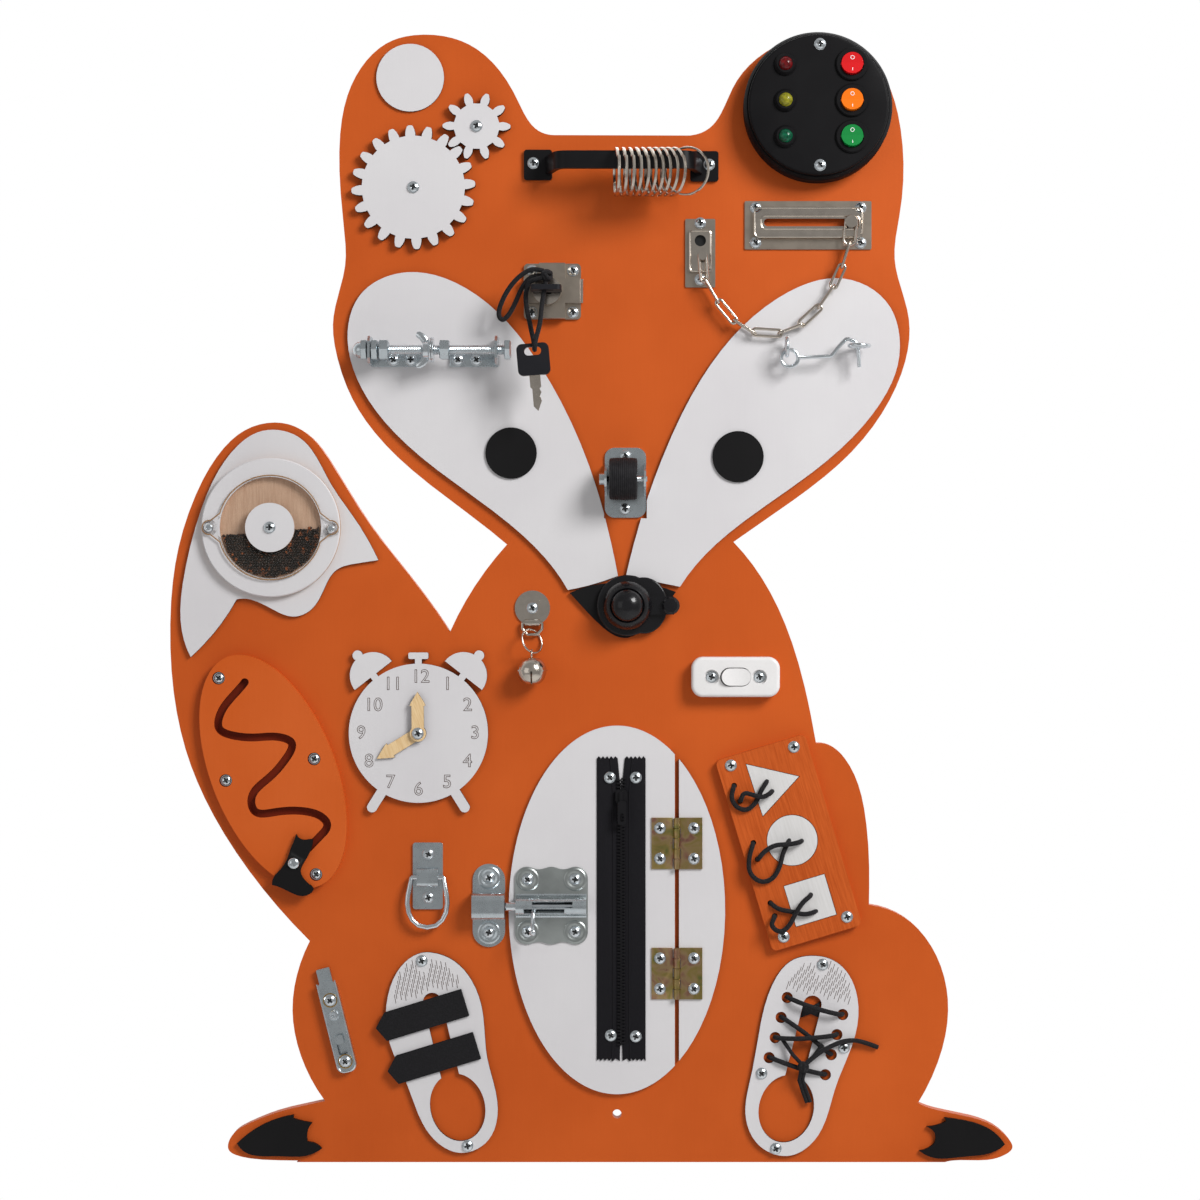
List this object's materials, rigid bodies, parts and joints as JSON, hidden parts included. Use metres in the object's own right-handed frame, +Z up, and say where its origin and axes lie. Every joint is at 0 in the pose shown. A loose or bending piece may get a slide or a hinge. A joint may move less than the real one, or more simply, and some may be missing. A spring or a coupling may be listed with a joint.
{
  "type": "busy board",
  "caption": "Fox-shaped wall busy board carrying gears, lamps, rockers, lock, door chain, hook, bolts, bell, maze, clock, spinner, shape inserts, zipper door, latches, straps and laces.",
  "frame": {"origin": "centre of the small through hole low in the middle of the board, on its back face", "axes": "+X to the right as seen from the front, +Y out of the back face towards the wall, +Z up"},
  "size_m": [0.598, 0.0554, 0.8006],
  "materials": {
    "base_board": "orange satin paint on plywood",
    "bell_lever": "black moulded",
    "bicycle_bell": "black",
    "black_panels": "black satin paint on plywood",
    "board_fittings": "zinc and yellow-chromate plated",
    "board_screws": "zinc plated",
    "bolt_rod": "zinc plated",
    "caster_bracket": "zinc plated",
    "caster_wheel": "black rubber",
    "cat_slider": "black satin paint",
    "chain_left": "nickel plated",
    "chain_plates": "nickel plated",
    "chain_right": "nickel plated",
    "chain_stud": "nickel plated",
    "clock_face": "white satin paint",
    "door_fittings": "zinc and yellow-chromate plated",
    "door_panel": "white satin paint",
    "gate_hook": "zinc plated",
    "gear_large": "white satin paint",
    "gear_small": "white satin paint",
    "handle_rings": "nickel plated",
    "hour_hand": "bare wood",
    "insert_circle": "white paint",
    "insert_square": "white paint",
    "insert_triangle": "white paint",
    "jingle_bell": "nickel plated",
    "key_cord": "black braided cord",
    "laces": "black round lace",
    "laces_circle": "black round lace",
    "laces_square": "black round lace",
    "laces_triangle": "black round lace",
    "lamp_circuit": "tinted lamp lenses",
    "latch_tongue": "zinc plated",
    "light_box_base": "black moulded",
    "light_box_cover": "black moulded",
    "line_switch_body": "white moulded",
    "line_switch_rocker": "white moulded",
    "lock_bolt": "bright nickel",
    "lock_case": "satin nickel",
    "lock_key": "nickel-plated blade with a black bow",
    "maze_panel": "orange satin paint",
    "minute_hand": "bare wood",
    "nut_washer": "zinc plated",
    "pull_handle": "black satin lacquer",
    "ring_bail": "zinc plated",
    "rocker_amber": "translucent amber",
    "rocker_green": "translucent green",
    "rocker_red": "translucent red",
    "shape_panel": "orange stain",
    "spare_key": "black moulded bow",
    "spinner_drum": "white satin paint",
    "spinner_seeds": "dark seeds",
    "spinner_window": "clear acrylic",
    "strap_lower": "black hook and loop tape",
    "strap_upper": "black hook and loop tape",
    "threaded_bolt": "zinc plated",
    "white_panels": "white satin paint on plywood",
    "wing_nut": "zinc plated",
    "zipper_slider": "black lacquer",
    "zipper_tape": "woven tape with moulded teeth"
  },
  "bodies": {
    "board": {"base_board": "base_board", "white_panels": "white_panels", "black_panels": "black_panels", "maze_panel": "maze_panel", "shape_panel": "shape_panel", "clock_face": "clock_face", "pull_handle": "pull_handle", "light_box_base": "light_box_base", "light_box_cover": "light_box_cover", "lamp_circuit": "lamp_circuit", "lock_case": "lock_case", "chain_plates": "chain_plates", "threaded_bolt": "threaded_bolt", "caster_bracket": "caster_bracket", "bicycle_bell": "bicycle_bell", "line_switch_body": "line_switch_body", "board_fittings": "board_fittings", "laces": "laces", "board_screws": "board_screws"},
    "large_gear": {"gear_large": "gear_large"},
    "small_gear": {"gear_small": "gear_small"},
    "rings": {"handle_rings": "handle_rings"},
    "red_rocker": {"rocker_red": "rocker_red"},
    "amber_rocker": {"rocker_amber": "rocker_amber"},
    "green_rocker": {"rocker_green": "rocker_green"},
    "key": {"lock_key": "lock_key"},
    "dead_bolt": {"lock_bolt": "lock_bolt"},
    "hanging_key": {"spare_key": "spare_key", "key_cord": "key_cord"},
    "stud": {"chain_stud": "chain_stud"},
    "chain_upper": {"chain_left": "chain_left"},
    "chain_lower": {"chain_right": "chain_right"},
    "hook": {"gate_hook": "gate_hook"},
    "washers": {"nut_washer": "nut_washer"},
    "nut": {"wing_nut": "wing_nut"},
    "wheel": {"caster_wheel": "caster_wheel"},
    "lever": {"bell_lever": "bell_lever"},
    "jingle": {"jingle_bell": "jingle_bell"},
    "switch_rocker": {"line_switch_rocker": "line_switch_rocker"},
    "door": {"door_panel": "door_panel", "door_fittings": "door_fittings", "zipper_tape": "zipper_tape"},
    "zip_slider": {"zipper_slider": "zipper_slider"},
    "bolt": {"bolt_rod": "bolt_rod"},
    "bail": {"ring_bail": "ring_bail"},
    "tongue": {"latch_tongue": "latch_tongue"},
    "upper_strap": {"strap_upper": "strap_upper"},
    "lower_strap": {"strap_lower": "strap_lower"},
    "cat": {"cat_slider": "cat_slider"},
    "hour": {"hour_hand": "hour_hand"},
    "minute": {"minute_hand": "minute_hand"},
    "spinner": {"spinner_drum": "spinner_drum", "spinner_window": "spinner_window"},
    "seeds": {"spinner_seeds": "spinner_seeds"},
    "triangle": {"insert_triangle": "insert_triangle", "laces_triangle": "laces_triangle"},
    "circle": {"insert_circle": "insert_circle", "laces_circle": "laces_circle"},
    "square": {"insert_square": "insert_square", "laces_square": "laces_square"}
  },
  "joints": [
    {"name": "gear_large_turn", "type": "hinge", "parent": "board", "child": "large_gear", "pos_m": [-0.1442, -0.0128, 0.6572], "axis": [0, 1, 0], "continuous": true},
    {"name": "gear_small_turn", "type": "hinge", "parent": "board", "child": "small_gear", "pos_m": [-0.09942, -0.0128, 0.70044], "axis": [0, 1, 0], "continuous": true},
    {"name": "handle_rings_slide", "type": "slide", "parent": "board", "child": "rings", "axis": [-1, 0, 0], "range_m": [0, 0.035]},
    {"name": "rocker_red_press", "type": "hinge", "parent": "board", "child": "red_rocker", "pos_m": [0.1654, -0.0305, 0.7414], "axis": [1, 0, 0], "range_deg": [0, 14]},
    {"name": "rocker_amber_press", "type": "hinge", "parent": "board", "child": "amber_rocker", "pos_m": [0.1654, -0.0305, 0.716], "axis": [1, 0, 0], "range_deg": [0, 14]},
    {"name": "rocker_green_press", "type": "hinge", "parent": "board", "child": "green_rocker", "pos_m": [0.1654, -0.0305, 0.6906], "axis": [1, 0, 0], "range_deg": [0, 14]},
    {"name": "lock_key_turn", "type": "hinge", "parent": "board", "child": "key", "pos_m": [-0.0492, -0.02, 0.583], "axis": [0, -1, 0], "range_deg": [0, 90], "deforming": ["key_cord"]},
    {"name": "lock_bolt_slide", "type": "slide", "parent": "board", "child": "dead_bolt", "axis": [1, 0, 0], "range_m": [0, 0.0092]},
    {"name": "spare_key_swing", "type": "hinge", "parent": "board", "child": "hanging_key", "pos_m": [-0.0492, -0.042, 0.583], "axis": [0, -1, 0], "range_deg": [-40, 40], "deforming": ["key_cord"]},
    {"name": "chain_stud_slide", "type": "slide", "parent": "board", "child": "stud", "axis": [-1, 0, 0], "range_m": [0, 0.055]},
    {"name": "chain_left_turn", "type": "hinge", "parent": "board", "child": "chain_upper", "pos_m": [0.0606, -0.018, 0.6081], "axis": [0, -1, 0], "range_deg": [-18.1, 0]},
    {"name": "chain_right_turn", "type": "hinge", "parent": "chain_upper", "child": "chain_lower", "pos_m": [0.1142, -0.018, 0.5534], "axis": [0, -1, 0], "range_deg": [0, 41.5]},
    {"name": "gate_hook_lift", "type": "hinge", "parent": "board", "child": "hook", "pos_m": [0.1218, -0.024, 0.5353], "axis": [0, -1, 0], "range_deg": [0, 70]},
    {"name": "nut_travel", "type": "slide", "parent": "board", "child": "washers", "axis": [-1, 0, 0], "range_m": [0, 0.0212]},
    {"name": "wing_nut_turn", "type": "hinge", "parent": "washers", "child": "nut", "pos_m": [-0.134, -0.031, 0.5405], "axis": [-1, 0, 0], "range_deg": [0, 5760]},
    {"name": "caster_wheel_spin", "type": "hinge", "parent": "board", "child": "wheel", "pos_m": [0.0046, -0.0285, 0.4501], "axis": [1, 0, 0], "continuous": true},
    {"name": "bell_lever_press", "type": "hinge", "parent": "board", "child": "lever", "pos_m": [0.0074, -0.0188, 0.361], "axis": [0, 1, 0], "range_deg": [0, 25], "stiffness_Nm_per_rad": 0.05},
    {"name": "jingle_swing", "type": "hinge", "parent": "board", "child": "jingle", "pos_m": [-0.06, -0.0134, 0.3488], "axis": [-1, 0, 0], "range_deg": [0, 80]},
    {"name": "line_switch_press", "type": "hinge", "parent": "board", "child": "switch_rocker", "pos_m": [0.0839, -0.018, 0.3105], "axis": [0, 0, -1], "range_deg": [0, 12]},
    {"name": "door_swing", "type": "hinge", "parent": "board", "child": "door", "pos_m": [0.0425, -0.0156, 0.1452], "axis": [0, 0, 1], "range_deg": [0, 150]},
    {"name": "zipper_slide", "type": "slide", "parent": "door", "child": "zip_slider", "axis": [0, 0, -1], "range_m": [0, 0.15]},
    {"name": "bolt_slide", "type": "slide", "parent": "door", "child": "bolt", "axis": [-1, 0, 0], "range_m": [-0.014, 0.005]},
    {"name": "ring_bail_lift", "type": "hinge", "parent": "board", "child": "bail", "pos_m": [-0.1342, -0.0136, 0.1683], "axis": [-1, 0, 0], "range_deg": [0, 150]},
    {"name": "latch_slide", "type": "slide", "parent": "board", "child": "tongue", "axis": [0.2436, 0, -0.9699], "range_m": [0, 0.008]},
    {"name": "strap_upper_lift", "type": "hinge", "parent": "board", "child": "upper_strap", "pos_m": [-0.1074, -0.0133, 0.0799], "axis": [-0.2924, 0, 0.9563], "range_deg": [0, 95]},
    {"name": "strap_lower_lift", "type": "hinge", "parent": "board", "child": "lower_strap", "pos_m": [-0.0991, -0.0133, 0.0494], "axis": [-0.2924, 0, 0.9563], "range_deg": [0, 95]},
    {"name": "cat_slide", "type": "slide", "parent": "board", "child": "cat", "axis": [0.6936, 0, 0.7204], "range_m": [0, 0.024]},
    {"name": "hour_hand_turn", "type": "hinge", "parent": "board", "child": "hour", "pos_m": [-0.1407, -0.0173, 0.2705], "axis": [0, 1, 0], "continuous": true},
    {"name": "minute_hand_turn", "type": "hinge", "parent": "board", "child": "minute", "pos_m": [-0.1407, -0.0152, 0.2705], "axis": [0, 1, 0], "continuous": true},
    {"name": "spinner_turn", "type": "hinge", "parent": "board", "child": "spinner", "pos_m": [-0.2449, -0.0158, 0.4161], "axis": [0, 1, 0], "continuous": true},
    {"name": "seeds_shift", "type": "hinge", "parent": "board", "child": "seeds", "pos_m": [-0.2449, -0.0165, 0.4161], "axis": [0, 1, 0], "range_deg": [-35, 35]},
    {"name": "insert_triangle_lift", "type": "slide", "parent": "board", "child": "triangle", "axis": [0, -1, 0], "range_m": [0, 0.012]},
    {"name": "insert_circle_lift", "type": "slide", "parent": "board", "child": "circle", "axis": [0, -1, 0], "range_m": [0, 0.012]},
    {"name": "insert_square_lift", "type": "slide", "parent": "board", "child": "square", "axis": [0, -1, 0], "range_m": [0, 0.012]}
  ],
  "couplings": [
    {"joint": "gear_small_turn", "follows": "gear_large_turn", "ratio": -2},
    {"joint": "lock_bolt_slide", "follows": "lock_key_turn", "m_per_rad": 0.005093},
    {"joint": "chain_left_turn", "follows": "chain_stud_slide", "rad_per_m": -5.725},
    {"joint": "chain_right_turn", "follows": "chain_stud_slide", "rad_per_m": 13.12},
    {"joint": "nut_travel", "follows": "wing_nut_turn", "m_per_rad": 0.00019894}
  ]
}
